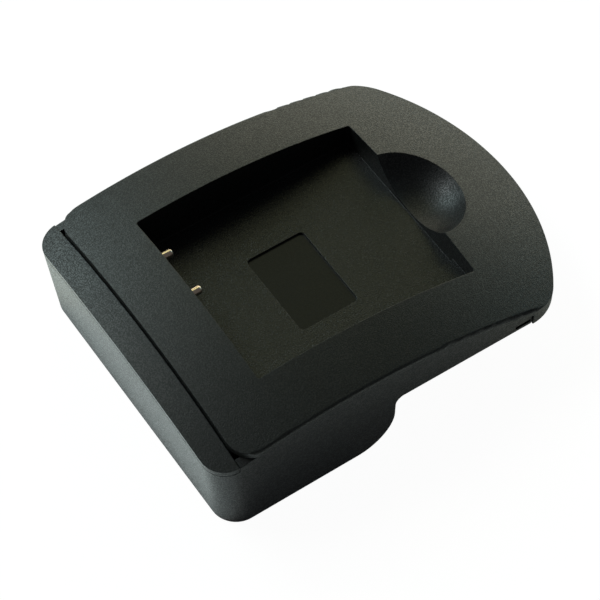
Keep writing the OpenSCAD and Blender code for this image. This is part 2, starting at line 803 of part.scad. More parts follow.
module filter_inductor() color(ferrite) translate([bay_x, coil_y, board_z - hang_gap])
  mirror([0, 0, 1]) rotate_extrude() difference() {
    square([coil_r, coil_l]);
    translate([coil_r - drum_groove, drum_flange]) square([coil_r, coil_l - 2 * drum_flange]);
  }

// A rod with an end cap near each end
fuse_cap_l = 1.0;
fuse_cap_in = 0.1;
fuse_cap_t = 0.25;

module fuse_resistor() color([0.55, 0.62, 0.50]) translate([bay_x, fuse_y, board_z - fuse_r - rest_gap])
  rotate([90, 0, 0]) rotate_extrude() {
    translate([0, -fuse_l / 2]) square([fuse_r - fuse_cap_t, fuse_l]);
    for (y = [fuse_cap_in - fuse_l / 2, fuse_l / 2 - fuse_cap_in - fuse_cap_l])
      translate([0, y]) square([fuse_r, fuse_cap_l]);
  }

// Flat packages on the board over the well: offset from the well, length and width
rectifier_at = [-1, 3.2];
rectifier_size = [4.6, 3.8];
transistor_at = [6, 4.2];
transistor_size = [4.0, 3.4];
control_at = [4, well_y1 - well_y0 - barrel_r - barrel_clear];
control_size = [4.9, 3.9];
leg_w = 0.4;
leg_l = 0.7;
leg_h = 0.35;

// A flat surface mounted package, just off the board, with legs on two sides
module small_package(at, size, legs) {
  pitch = size[0] / legs;
  translate([well_x + at[0], well_y0 + at[1], board_top]) {
    translate([-size[0] / 2, -size[1] / 2, rest_gap]) cube([size[0], size[1], chip_h - rest_gap]);
    for (i = [0:legs - 1], s = [0, 1]) mirror([0, s, 0])
      translate([(i + 0.5) * pitch - size[0] / 2 - leg_w / 2, size[1] / 2 - eps, 0])
        cube([leg_w, leg_l, leg_h]);
  }
}

module bridge_rectifier() color(ferrite) small_package(rectifier_at, rectifier_size, 2);
module switching_transistor() color(ferrite) small_package(transistor_at, transistor_size, 3);
module control_chip() color(ferrite) small_package(control_at, control_size, 4);

// Domed lamp that looks out through the far side wall
module indicator_lamp() color([0.85, 0.20, 0.15, 0.8])
  translate([lamp_x, base_half - lamp_reach - lamp_dome, lamp_z]) rotate([-90, 0, 0])
    rotate_extrude() {
      square([lamp_r + lamp_flange, lamp_flange_t]);
      square([lamp_r, lamp_reach]);
      translate([0, lamp_reach]) intersection() {
        circle(r = lamp_r, $fn = 48);
        square([lamp_r, lamp_dome]);
      }
    }

module plug_carrier() color(black) difference() {
  translate([well_x, hinge_y, hinge_z]) rotate([0, 90, 0]) {
    cylinder(r = barrel_r, h = 2 * barrel_half, center = true);
    cylinder(r = journal_r, h = 2 * (well_half + well_t - 0.2), center = true);
  }
  for (s = [-1, 1]) blade_body(s);
}

// One flat blade with its chamfered end, folded along -Y
module blade_body(s) translate([well_x + s * blade_pitch / 2 - blade_t / 2, 0, 0])
  rotate([90, 0, 90]) linear_extrude(blade_t) difference() {
    union() {
      translate([blade_end_y, hinge_z - blade_w / 2])
        square([hinge_y - blade_end_y + blade_root, blade_w]);
      translate([hinge_y, hinge_z - blade_root / 2]) square([blade_tail, blade_root]);
    }
    for (k = [-1, 1]) translate([blade_end_y, hinge_z + k * blade_w / 2])
      rotate([0, 0, 45]) square([blade_chamfer, blade_chamfer], center = true);
  }

module plug_blade(s) color(nickel) difference() {
  blade_body(s);
  translate([well_x, blade_end_y + blade_hole_in, hinge_z]) rotate([0, 90, 0])
    cylinder(r = blade_hole_r, h = 2 * blade_pitch, center = true);
}

module plug_blade_a() plug_blade(-1);
module plug_blade_b() plug_blade(1);

// Sprung lug under the board that the turned-out blade presses on
module plug_contact(s) color(brass)
  translate([well_x + s * blade_pitch / 2, hinge_y, board_z]) {
    translate([-lug_w / 2, -lug_l / 2, -well_t]) cube([lug_w, lug_l, strip_t]);
    translate([-lug_w / 2, lug_l / 2 - strip_t, -well_t]) cube([lug_w, strip_t, well_t]);
  }

module plug_contact_a() plug_contact(-1);
module plug_contact_b() plug_contact(1);

// Four screws, up from the underside into the cover's posts
module housing_screws() color([0.65, 0.66, 0.68]) screw_places() difference() {
  union() {
    translate([0, 0, floor_t - head_sunk]) cylinder(r = screw_head_r, h = head_h);
    translate([0, 0, floor_t]) cylinder(r = screw_r, h = screw_l);
  }
  for (turn = [0, 90]) rotate([0, 0, turn]) translate([0, 0, floor_t - head_sunk])
    cube([drive_l, drive_w, head_h], center = true);
}

lower_shell();
upper_cover();
battery_plate();
contact_block();
plate_terminal_a();
plate_terminal_b();
contact_pin_a();
contact_pin_b();
pin_spring_a();
pin_spring_b();
base_finger_a();
base_finger_b();
main_board();
transformer_core();
transformer_bobbin();
transformer_winding();
bulk_capacitor_a();
bulk_capacitor_b();
output_capacitor();
safety_capacitor();
filter_inductor();
bridge_rectifier();
switching_transistor();
control_chip();
fuse_resistor();
indicator_lamp();
plug_carrier();
plug_blade_a();
plug_blade_b();
plug_contact_a();
plug_contact_b();
housing_screws();
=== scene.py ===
"""Looks of a travel charger for a camera battery.

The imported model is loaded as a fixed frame. Each sub-assembly then dresses its own
pieces, or stands a finer moulding in for them, and a plain studio is built round the
part with the camera at the photograph's viewing angle. Lengths are in millimetres
until they reach Blender, which works in metres.
"""

import logging
import math
from dataclasses import dataclass, field
from enum import Enum
from typing import Any, Callable, Iterable, Union

import bmesh
import bpy
from mathutils import Matrix, Vector, kdtree


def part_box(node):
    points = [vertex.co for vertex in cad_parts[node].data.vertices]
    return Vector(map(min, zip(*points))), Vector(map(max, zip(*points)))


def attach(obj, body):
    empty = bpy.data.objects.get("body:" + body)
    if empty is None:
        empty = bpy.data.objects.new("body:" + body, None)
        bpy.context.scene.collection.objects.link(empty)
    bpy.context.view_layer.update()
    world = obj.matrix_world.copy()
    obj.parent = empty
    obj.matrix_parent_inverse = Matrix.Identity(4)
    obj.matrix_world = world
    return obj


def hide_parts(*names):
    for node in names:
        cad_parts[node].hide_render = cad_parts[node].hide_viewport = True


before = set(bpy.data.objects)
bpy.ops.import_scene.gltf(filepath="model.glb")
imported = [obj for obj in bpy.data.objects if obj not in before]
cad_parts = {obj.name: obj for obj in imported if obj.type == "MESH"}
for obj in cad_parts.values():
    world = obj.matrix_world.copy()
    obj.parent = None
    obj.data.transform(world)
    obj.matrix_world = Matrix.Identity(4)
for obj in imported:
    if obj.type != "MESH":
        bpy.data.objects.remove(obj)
bpy.ops.object.select_all(action="DESELECT")

LOG = logging.getLogger("charger")
MM = 0.001
# Letters that tell the two pieces of a pair apart.
SIDES = "ab"
# Points closer than this, in millimetres, are one point.
WELD = 0.002
# Two faces count as one smooth face where the sine between them is under this.
SHARP_SINE = 0.14
# An edge whose curve would bow by more than this share of its length spans a real corner.
MOST_BOW = 0.15
Colour = tuple[float, float, float]
Pair = tuple[float, float]
Triple = tuple[float, float, float]
Value = Union["Link", float, Colour]


class Slot(Enum):
    """The record's material slots."""

    HOUSING = "housing_plastic"
    COVER = "cover_plastic"
    PLATE = "plate_plastic"
    PLUG = "plug_plastic"
    INSULATOR = "insulator"
    NICKEL = "nickel_contact"
    BRASS = "spring_brass"
    BOARD = "board_green"
    FERRITE = "ferrite"
    FORMER = "former_plastic"
    WINDING = "winding_tape"
    SLEEVE = "capacitor_sleeve"
    DISC = "disc_coating"
    RESISTOR = "resistor_body"
    CHIP = "chip_epoxy"
    LAMP = "lamp_lens"
    SCREW = "screw_steel"


class Body(Enum):
    """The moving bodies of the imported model."""

    HOUSING = "housing"
    PLATE = "plate"
    PIN_A = "pin_a"
    PIN_B = "pin_b"
    PLUG = "plug"


class Link:
    """A shader socket whose numbers can be added, subtracted and multiplied."""

    def __init__(self, sheet: "Sheet", socket: bpy.types.NodeSocket) -> None:
        """Args:
            sheet: The material's node sheet that the socket belongs to.
            socket: The output socket.
        """
        self.sheet = sheet
        self.socket = socket

    def _math(self, operation: str, *values: Value) -> "Link":
        """Return the result of one Math node on some values."""
        return self.sheet.node("Math", {"operation": operation}, dict(enumerate(values)))

    def __add__(self, other: Value) -> "Link":
        """Return the sum."""
        return self._math("ADD", self, other)

    __radd__ = __add__

    def __sub__(self, other: Value) -> "Link":
        """Return the difference."""
        return self._math("SUBTRACT", self, other)

    def __rsub__(self, other: Value) -> "Link":
        """Return the difference the other way round."""
        return self._math("SUBTRACT", other, self)

    def __mul__(self, other: Value) -> "Link":
        """Return the product."""
        return self._math("MULTIPLY", self, other)

    __rmul__ = __mul__

    def above(self, low: float, high: float) -> "Link":
        """Return 0 below one level, 1 above another and a smooth rise between.

        Args:
            low: Level at which the rise starts.
            high: Level at which it ends.

        Returns:
            The smoothed step.
        """
        inputs = {"Value": self, "From Min": low, "From Max": high}
        return self.sheet.node("MapRange", {"interpolation_type": "SMOOTHSTEP"}, inputs)


class Sheet:
    """The nodes of one material or of the world.

    Attributes:
        MIX_IN: Numbers of a colour Mix node's share, first and second inputs.
        MIX_OUT: Number of its colour output.
        BEVEL_SAMPLES: Samples that the rounding of an edge takes.
    """

    MIX_IN = (0, 6, 7)
    MIX_OUT = 2
    BEVEL_SAMPLES = 6

    def __init__(self, owner: bpy.types.ID) -> None:
        """Args:
            owner: The material or world whose nodes are replaced.
        """
        owner.use_nodes = True
        self.tree = owner.node_tree
        self.tree.nodes.clear()

    def node(self, kind: str, settings: dict[str, Any] | None = None,
             inputs: dict[Any, Value] | None = None, out: Any = 0) -> Link:
        """Add a node.

        Args:
            kind: Node type without its ShaderNode prefix.
            settings: Properties that are set before the inputs.
            inputs: Values or links by input name or number.
            out: Name or number of the output to return.

        Returns:
            A link to that output.
        """
        made = self.tree.nodes.new("ShaderNode" + kind)
        for key, value in (settings or {}).items():
            setattr(made, key, value)
        for key, value in (inputs or {}).items():
            if isinstance(value, Link):
                self.tree.links.new(value.socket, made.inputs[key])
            elif isinstance(value, tuple) and made.inputs[key].type == "RGBA":
                made.inputs[key].default_value = (*value, 1.0)
            else:
                made.inputs[key].default_value = value
        return Link(self, made.outputs[out])

    def place(self) -> Link:
        """Return the Object coordinates, in metres."""
        return self.node("TexCoord", out="Object")

    def noise(self, size_mm: float, detail: float = 2.0, rough: float = 0.5,
              where: Link | None = None) -> Link:
        """Return a noise value from 0 to 1.

        Args:
            size_mm: Size of one blotch.
            detail: Octaves of finer noise.
            rough: Strength of those octaves.
            where: Coordinates, or None for the piece's own.

        Returns:
            The noise.
        """
        inputs = {"Vector": where or self.place(), "Scale": 1 / (size_mm * MM),
                  "Detail": detail, "Roughness": rough}
        return self.node("TexNoise", {"noise_dimensions": "3D"}, inputs, "Fac")

    def mix(self, share: Value, first: Value, second: Value) -> Link:
        """Return a mix of two colours.

        Args:
            share: Share of the second colour, from 0 to 1.
            first: The first colour.
            second: The second colour.

        Returns:
            The mixed colour.
        """
        inputs = dict(zip(self.MIX_IN, (share, first, second)))
        return self.node("Mix", {"data_type": "RGBA"}, inputs, self.MIX_OUT)

    def bump(self, height: Link, depth_mm: float, edge_mm: float = 0.0) -> Link:
        """Return a normal that a height from 0 to 1 roughens.

        Args:
            height: The height.
            depth_mm: Depth of the relief, in millimetres.
            edge_mm: Radius that sharp edges are rounded with, or 0 to keep them.

        Returns:
            The normal.
        """
        inputs: dict[Any, Value] = {"Height": height, "Distance": depth_mm * MM}
        if edge_mm:
            inputs["Normal"] = self.node("Bevel", {"samples": self.BEVEL_SAMPLES},
                                         {"Radius": edge_mm * MM})
        return self.node("Bump", None, inputs)

    def finish(self, surface: Link, kind: str = "OutputMaterial") -> None:
        """Add the output node and link a shader to its surface."""
        made = self.tree.nodes.new("ShaderNode" + kind)
        self.tree.links.new(surface.socket, made.inputs["Surface"])


class Finish:
    """What every finish shares: it makes its material once and gives it from then on."""

    name: str
    slot: Slot

    def material(self) -> bpy.types.Material:
        """Return the finish's material, made on first use."""
        known = bpy.data.materials.get(self.name)
        if known:
            return known
        made = bpy.data.materials.new(self.name)
        self.shade(Sheet(made))
        return made

    def shade(self, sheet: Sheet) -> None:
        """Build the nodes."""
        raise NotImplementedError


@dataclass(frozen=True)
class Moulding(Finish):
    """Moulded plastic with the grain of a spark-eroded tool.

    Attributes:
        name: Material name.
        slot: Record slot; not used by this script.
        colour: Colour between the grains.
        lift: Colour of the raised grains.
        grain_mm: Size of a grain.
        depth_mm: Depth of the grain.
        roughness: Roughness of the surface.
        specular: Specular level.
        glint: Share of gloss that the tops of the grains add.
        edge_mm: Radius of the moulded edges.
        tone_mm: Size of the faint clouds in the colour.
        raised: Noise levels between which a grain rises.
        shares: Shares of the lifted colour on the grains and in the clouds.
        matting: Roughness that the grains and the clouds add.
        specks: Noise levels between which a glossy speck starts.
        speck_span: Size of a speck beside a grain.
        speck_roughness: Roughness of the specks' gloss.
    """

    name: str
    slot: Slot
    colour: Colour
    lift: Colour
    grain_mm: float = 0.22
    depth_mm: float = 0.07
    roughness: float = 0.44
    specular: float = 0.28
    glint: float = 0.42
    edge_mm: float = 0.2
    tone_mm: float = 9.0
    raised: Pair = (0.42, 0.70)
    shares: Pair = (0.6, 0.25)
    matting: Pair = (0.20, 0.06)
    specks: Pair = (0.42, 0.66)
    speck_span: float = 1.1
    speck_roughness: float = 0.34

    def shade(self, sheet: Sheet) -> None:
        """Build the nodes."""
        grain = sheet.noise(self.grain_mm, detail=2.0, rough=0.6)
        tone = sheet.noise(self.tone_mm, detail=2.0, rough=0.5)
        speck = sheet.noise(self.grain_mm * self.speck_span, detail=1.0, rough=0.5)
        lifted = grain.above(*self.raised) * self.shares[0] + tone * self.shares[1]
        matted = self.matting[0] * (grain - 0.5) + self.matting[1] * (tone - 0.5)
        surface = sheet.node("BsdfPrincipled", None, {
            "Base Color": sheet.mix(lifted, self.colour, self.lift),
            "Roughness": self.roughness + matted,
            "Specular IOR Level": self.specular,
            "Coat Weight": speck.above(*self.specks) * self.glint,
            "Coat Roughness": self.speck_roughness,
            "Normal": sheet.bump(grain, self.depth_mm, self.edge_mm)})
        sheet.finish(surface)


@dataclass(frozen=True)
class Plated(Finish):
    """Plated or rolled metal with fine draw marks.

    Attributes:
        name: Material name.
        slot: Record slot; not used by this script.
        colour: Colour of the metal.
        tarnish: Colour of its thin stains.
        roughness: Roughness of the bright metal.
        mark_mm: Spacing of the draw marks.
        drawn: Scale of the marks along each axis; a small one stretches them.
        mark_depth: Depth of the marks, in millimetres.
        stain_mm: Size of a stain.
        stained: Noise levels between which a stain starts.
        stain_share: Share of the tarnish where a stain is full.
        matting: Roughness that a mark or a stain adds.
    """

    name: str
    slot: Slot
    colour: Colour
    tarnish: Colour
    roughness: float = 0.18
    mark_mm: float = 0.35
    drawn: Triple = (0.15, 1.0, 1.0)
    mark_depth: float = 0.002
    stain_mm: float = 1.6
    stained: Pair = (0.48, 0.75)
    stain_share: float = 0.5
    matting: float = 0.12

    def shade(self, sheet: Sheet) -> None:
        """Build the nodes."""
        stretched = sheet.node("Mapping", None, {"Vector": sheet.place(), "Scale": self.drawn})
        marks = sheet.noise(self.mark_mm, detail=2.0, rough=0.6, where=stretched)
        stain = sheet.noise(self.stain_mm, detail=3.0, rough=0.6).above(*self.stained)
        surface = sheet.node("BsdfPrincipled", None, {
            "Base Color": sheet.mix(stain * self.stain_share, self.colour, self.tarnish),
            "Metallic": 1.0,
            "Roughness": self.roughness + self.matting * marks + self.matting * stain,
            "Normal": sheet.bump(marks, self.mark_depth)})
        sheet.finish(surface)


@dataclass(frozen=True)
class Coated(Finish):
    """Coat of varnish, sleeve, epoxy or tape over an inner piece.

    Attributes:
        name: Material name.
        slot: Record slot; not used by this script.
        colour: Main colour.
        second: Colour of its blotches.
        blotch_mm: Size of a blotch.
        roughness: Roughness of the coat.
        depth_mm: Depth of its ripple.
        clouded: Noise levels between which a blotch starts.
        ripple_span: Size of a ripple beside a blotch.
        matting: Roughness that the ripple adds.
    """

    name: str
    slot: Slot
    colour: Colour
    second: Colour
    blotch_mm: float = 1.2
    roughness: float = 0.35
    depth_mm: float = 0.01
    clouded: Pair = (0.40, 0.66)
    ripple_span: float = 0.15
    matting: float = 0.15

    def shade(self, sheet: Sheet) -> None:
        """Build the nodes."""
        blotch = sheet.noise(self.blotch_mm, detail=3.0, rough=0.55)
        ripple = sheet.noise(self.blotch_mm * self.ripple_span, detail=2.0, rough=0.5)
        surface = sheet.node("BsdfPrincipled", None, {
            "Base Color": sheet.mix(blotch.above(*self.clouded), self.colour, self.second),
            "Roughness": self.roughness + self.matting * (ripple - 0.5),
            "Normal": sheet.bump(ripple, self.depth_mm)})
        sheet.finish(surface)


@dataclass(frozen=True)
class Lens(Finish):
    """Tinted clear dome of the lamp.

    Attributes:
        name: Material name.
        slot: Record slot; not used by this script.
        colour: Colour of the tint.
        deepest: How dark the tint gets in its clouds.
        cloud_mm: Size of a cloud.
        roughness: Roughness of the dome.
        matting: Roughness that the clouds add.
        clear: Share of the light that passes through.
        bending: Index of refraction.
    """

    name: str
    slot: Slot
    colour: Colour
    deepest: float = 0.6
    cloud_mm: float = 0.8
    roughness: float = 0.10
    matting: float = 0.08
    clear: float = 0.6
    bending: float = 1.49

    def shade(self, sheet: Sheet) -> None:
        """Build the nodes."""
        cloud = sheet.noise(self.cloud_mm, detail=2.0, rough=0.5)
        deep = tuple(self.deepest * channel for channel in self.colour)
        surface = sheet.node("BsdfPrincipled", None, {
            "Base Color": sheet.mix(cloud, self.colour, deep),
            "Roughness": self.roughness + self.matting * cloud,
            "Transmission Weight": self.clear,
            "IOR": self.bending})
        sheet.finish(surface)


BLACK = (0.0052, 0.0060, 0.0057)
BLACK_LIFT = (0.011, 0.0125, 0.012)
HOUSING_FINISH = Moulding("housing_moulding", Slot.HOUSING, BLACK, BLACK_LIFT, roughness=0.42)
COVER_FINISH = Moulding("cover_moulding", Slot.COVER, BLACK, BLACK_LIFT)
PLATE_FINISH = Moulding("plate_moulding", Slot.PLATE, BLACK, BLACK_LIFT)
FLOOR_FINISH = Moulding("pocket_floor_moulding", Slot.PLATE, BLACK, BLACK_LIFT,
                        roughness=0.25, specular=0.33, glint=0.12)
RECESS_FINISH = Moulding("recess_moulding", Slot.PLATE, (0.0035, 0.0040, 0.0040),
                         (0.006, 0.007, 0.007), depth_mm=0.012, roughness=0.30,
                         specular=0.17, glint=0.08)
SCOOP_FINISH = Moulding("scoop_moulding", Slot.PLATE, (0.0042, 0.0046, 0.0050),
                        (0.0085, 0.0092, 0.010), roughness=0.36, specular=0.20)
PLUG_FINISH = Moulding("plug_moulding", Slot.PLUG, BLACK, BLACK_LIFT,
                       depth_mm=0.006, roughness=0.36)
BLOCK_FINISH = Moulding("block_moulding", Slot.INSULATOR, (0.012, 0.012, 0.013),
                        (0.022, 0.022, 0.024))
SPRING_FINISH = Plated("pin_nickel", Slot.NICKEL, (0.80, 0.74, 0.66), (0.55, 0.42, 0.30))
PIN_FINISH = Plated("pin_tip_nickel", Slot.NICKEL, (0.88, 0.72, 0.58), (0.66, 0.46, 0.32),
                    roughness=0.10)
BRASS_FINISH = Plated("rolled_brass", Slot.BRASS, (0.78, 0.60, 0.28), (0.50, 0.36, 0.16),
                      roughness=0.24)
SCREW_FINISH = Plated("zinc_steel", Slot.SCREW, (0.62, 0.63, 0.66), (0.42, 0.42, 0.44),
                      roughness=0.28)
BOARD_FINISH = Coated("board_mask", Slot.BOARD, (0.02, 0.14, 0.06), (0.05, 0.22, 0.10),
                      blotch_mm=2.0, roughness=0.4)
FERRITE_FINISH = Coated("sintered", Slot.FERRITE, (0.05, 0.05, 0.055), (0.09, 0.09, 0.10),
                        blotch_mm=0.5, roughness=0.7, depth_mm=0.03)
NYLON_FINISH = Coated("nylon", Slot.FORMER, (0.62, 0.56, 0.42), (0.70, 0.65, 0.52),
                      blotch_mm=1.5, roughness=0.45)
TAPE_FINISH = Coated("tape", Slot.WINDING, (0.75, 0.50, 0.06), (0.82, 0.60, 0.12),
                     blotch_mm=1.4, roughness=0.3)
SLEEVE_FINISH = Coated("sleeve", Slot.SLEEVE, (0.02, 0.04, 0.12), (0.03, 0.06, 0.18),
                       blotch_mm=1.8, roughness=0.25)
DIPPED_FINISH = Coated("dipped", Slot.DISC, (0.05, 0.22, 0.50), (0.08, 0.28, 0.58),
                       blotch_mm=1.1, roughness=0.2, depth_mm=0.02)
EPOXY_FINISH = Coated("epoxy", Slot.CHIP, (0.02, 0.02, 0.022), (0.035, 0.035, 0.04),
                      blotch_mm=0.3, roughness=0.55)
RESISTOR_FINISH = Coated("resistor", Slot.RESISTOR, (0.28, 0.40, 0.26), (0.34, 0.46, 0.30),
                         blotch_mm=0.9, roughness=0.4)
LAMP_FINISH = Lens("lamp_dome", Slot.LAMP, (0.75, 0.08, 0.04))


def dress(node: str, finish: Finish) -> None:
    """Give a CAD node a finish.

    Args:
        node: Name of the node.
        finish: The finish for all of it.
    """
    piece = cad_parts[node]
    piece.data.materials.clear()
    piece.data.materials.append(finish.material())
    LOG.info("%s dressed with %s", node, finish.name)


@dataclass
class TrueCurves:
    """A finer copy of a node, whose long facets are split until they follow its curved faces.

    Attributes:
        node: CAD node that the copy stands for.
        body: Body that it rides on.
        finish: Its main finish.
        bow_mm: Largest bow between a facet's edge and the true curve that is left.
        passes: Most times that an edge is halved.
    """

    node: str
    body: Body
    finish: Finish
    bow_mm: float = 0.004
    passes: int = 5

    def build(self) -> bpy.types.Object:
        """Make the copy and put it in the node's place.

        Returns:
            The finished piece.
        """
        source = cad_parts[self.node]
        piece = bpy.data.objects.new(self.node + "_moulding", source.data.copy())
        bpy.context.scene.collection.objects.link(piece)
        self.refine(piece)
        piece.data.materials.clear()
        piece.data.materials.append(self.finish.material())
        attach(piece, self.body.value)
        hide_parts(self.node)
        LOG.info("%s: %d faces", piece.name, len(piece.data.polygons))
        return piece

    def refine(self, piece: bpy.types.Object) -> None:
        """Merge the loose triangles, split their bowed edges and keep their true normals.

        Args:
            piece: The copy, whose mesh still is the node's.
        """
        mesh = piece.data
        form = bmesh.new()
        form.from_mesh(mesh)
        true = form.loops.layers.float_vector.new("true_normal")
        for face in form.faces:
            for corner in face.loops:
                corner[true] = mesh.corner_normals[corner.index].vector
        bmesh.ops.remove_doubles(form, verts=form.verts, dist=WELD * MM)
        for _ in range(self.passes):
            inner = [edge for edge in form.edges if len(edge.link_loops) == 2]
            bowed = {edge: self.bow(edge, true) for edge in inner}
            bowed = {edge: bow for edge, bow in bowed.items() if bow.length > self.bow_mm * MM}
            if not bowed:
                break
            middles = kdtree.KDTree(len(bowed))
            for number, edge in enumerate(bowed):
                middles.insert((edge.verts[0].co + edge.verts[1].co) / 2, number)
            middles.balance()
            bows = list(bowed.values())
            made = bmesh.ops.subdivide_edges(form, edges=list(bowed), cuts=1)
            for vert in made["geom_inner"]:
                if isinstance(vert, bmesh.types.BMVert):
                    vert.co += bows[middles.find(vert.co)[1]]
            self.cut_to_triangles(form)
        self.reshape(form, true)
        normals = [corner[true].normalized() for face in form.faces for corner in face.loops]
        form.loops.layers.float_vector.remove(true)
        form.to_mesh(mesh)
        form.free()
        mesh.shade_smooth()
        mesh.normals_split_custom_set(normals)

    def reshape(self, form: bmesh.types.BMesh, true: bmesh.types.BMLayerItem) -> None:
        """Change the refined form. A plain copy stays as it is.

        Args:
            form: The mesh in work.
            true: Layer of the true normals at the faces' corners.
        """

    @staticmethod
    def cut_to_triangles(form: bmesh.types.BMesh) -> None:
        """Cut the faces that splitting has left with more than three corners."""
        bmesh.ops.triangulate(form, faces=[face for face in form.faces if len(face.verts) > 3])

    @staticmethod
    def bow(edge: bmesh.types.BMEdge, true: bmesh.types.BMLayerItem) -> Vector:
        """Return how far the true curve's middle lies from an edge's middle.

        Args:
            edge: An edge between two faces.
            true: Layer of the true normals at the faces' corners.

        Returns:
            The offset.
        """
        chord = edge.verts[1].co - edge.verts[0].co
        tangents = []
        for vert in edge.verts:
            sides = [(loop if loop.vert == vert else loop.link_loop_next)[true]
                     for loop in edge.link_loops]
            along = sides[0].cross(sides[1])
            if along.length < SHARP_SINE:
                mean = (sides[0] + sides[1]).normalized()
                along = chord - mean * chord.dot(mean)
            if along.dot(chord) < 0:
                along.negate()
            tangents.append(along.normalized() * chord.length)
        # The middle of a cubic curve with these end tangents lies this far off the chord.
        bow = (tangents[0] - tangents[1]) / 8
        return bow if bow.length < MOST_BOW * chord.length else Vector()

    @staticmethod
    def paint(piece: bpy.types.Object, finish: Finish,
              chosen: Callable[[Vector, Vector], bool]) -> None:
        """Give the chosen faces a finish of their own.

        Args:
            piece: The piece.
            finish: The finish for the faces.
            chosen: Test of a face's centre, in millimetres, and its normal.
        """
        piece.data.materials.append(finish.material())
        number = len(piece.data.materials) - 1
        for face in piece.data.polygons:
            if chosen(face.center / MM, face.normal):
                face.material_index = number


@dataclass
class RoundedPlate(TrueCurves):
    """The battery plate's copy, with its two rear corners rounded further in plan.

    Attributes:
        rear_x: Place of the plate's rear edge.
        half_w: Half of its width.
        old_r: Plan radius of the corners as built.
        new_r: Plan radius that they get.
        span_mm: Longest edge that is left near the corners.
        splits: Most times that such an edge is halved.
        crown_x: Place of the crown's highest point.
        crown_r: Radius of the crown along the length.
        cross_r: Radius of the crown across the width.
        ease_from: Share of the way out to the rim at which the drawing in starts.
        ease_span: Share of the way over which it grows.
        probe_mm: Step over which the turn of the normals is measured.
        still_mm: Movement that counts as none.
    """

    rear_x: float = -33.7
    half_w: float = 28.0
    old_r: float = 3.0
    new_r: float = 4.4
    span_mm: float = 0.5
    splits: int = 7
    crown_x: float = -13.3
    crown_r: float = 113.0
    cross_r: float = 133.0
    ease_from: float = 0.35
    ease_span: float = 0.45
    probe_mm: float = 0.01
    still_mm: float = 1e-6

    def crown(self, place: Vector) -> float:
        """Return the crown's height at a place, from its axis."""
        reach = self.crown_r - self.cross_r + math.sqrt(self.cross_r ** 2 - place.y ** 2)
        return math.sqrt(reach ** 2 - (place.x - self.crown_x) ** 2)

    def moved(self, place: Vector) -> Vector:
        """Return where a place goes to, with both places in millimetres.

        Args:
            place: A place on the plate.

        Returns:
            The place drawn in from the corner, at the same depth under the crown.
        """
        side = math.copysign(1.0, place.y)
        centre = Vector((self.rear_x + self.new_r, side * (self.half_w - self.new_r), 0.0))
        out = Vector((centre.x - place.x, side * (place.y - centre.y)))
        if min(out) <= 0:
            return place.copy()
        way = out.normalized()
        inner = self.new_r - self.old_r
        if max(way) * inner >= min(way) * self.new_r:
            rim = self.new_r / max(way)
        else:
            spread = inner * (way.x + way.y)
            rim = spread + math.sqrt(spread ** 2 - 2 * inner ** 2 + self.old_r ** 2)
        share = min(1.0, max(0.0, (out.length / rim - self.ease_from) / self.ease_span))
        way *= out.length - (rim - self.new_r) * share * share * (3 - 2 * share)
        gone = Vector((centre.x - way.x, centre.y + side * way.y, place.z))
        gone.z += self.crown(gone) - self.crown(place)
        return gone

    def reshape(self, form: bmesh.types.BMesh, true: bmesh.types.BMLayerItem) -> None:
        """Split the long edges near the corners, then move and turn what lies there.

        Args:
            form: The mesh in work.
            true: Layer of the true normals at the faces' corners.
        """
        for _ in range(self.splits):
            long = [edge for edge in form.edges
                    if edge.calc_length() > self.span_mm * MM and self.near(edge)]
            if not long:
                break
            bmesh.ops.subdivide_edges(form, edges=long, cuts=1)
            self.cut_to_triangles(form)
        step = self.probe_mm
        for vert in form.verts:
            place = vert.co / MM
            gone = self.moved(place)
            if (gone - place).length < self.still_mm:
                continue
            shifts = [(self.moved(place + Vector(way)) - gone) / step
                      for way in ((step, 0, 0), (0, step, 0))]
            turn = Matrix((*shifts, (0.0, 0.0, 1.0))).inverted_safe()
            for corner in vert.link_loops:
                corner[true] = (turn @ corner[true]).normalized()
            vert.co = gone * MM

    def near(self, edge: bmesh.types.BMEdge) -> bool:
        """Return whether an edge reaches into a corner."""
        ends = [vert.co / MM for vert in edge.verts]
        inside = max(abs(end.y) for end in ends) > self.half_w - self.new_r
        return inside and min(end.x for end in ends) < self.rear_x + self.new_r


@dataclass
class Housing:
    """The deep housing, the cover that closes it and their screws."""

    def build(self) -> None:
        """Stand the rounded mouldings in for the two shells."""
        TrueCurves("lower_shell", Body.HOUSING, HOUSING_FINISH).build()
        TrueCurves("upper_cover", Body.HOUSING, COVER_FINISH).build()
        dress("housing_screws", SCREW_FINISH)


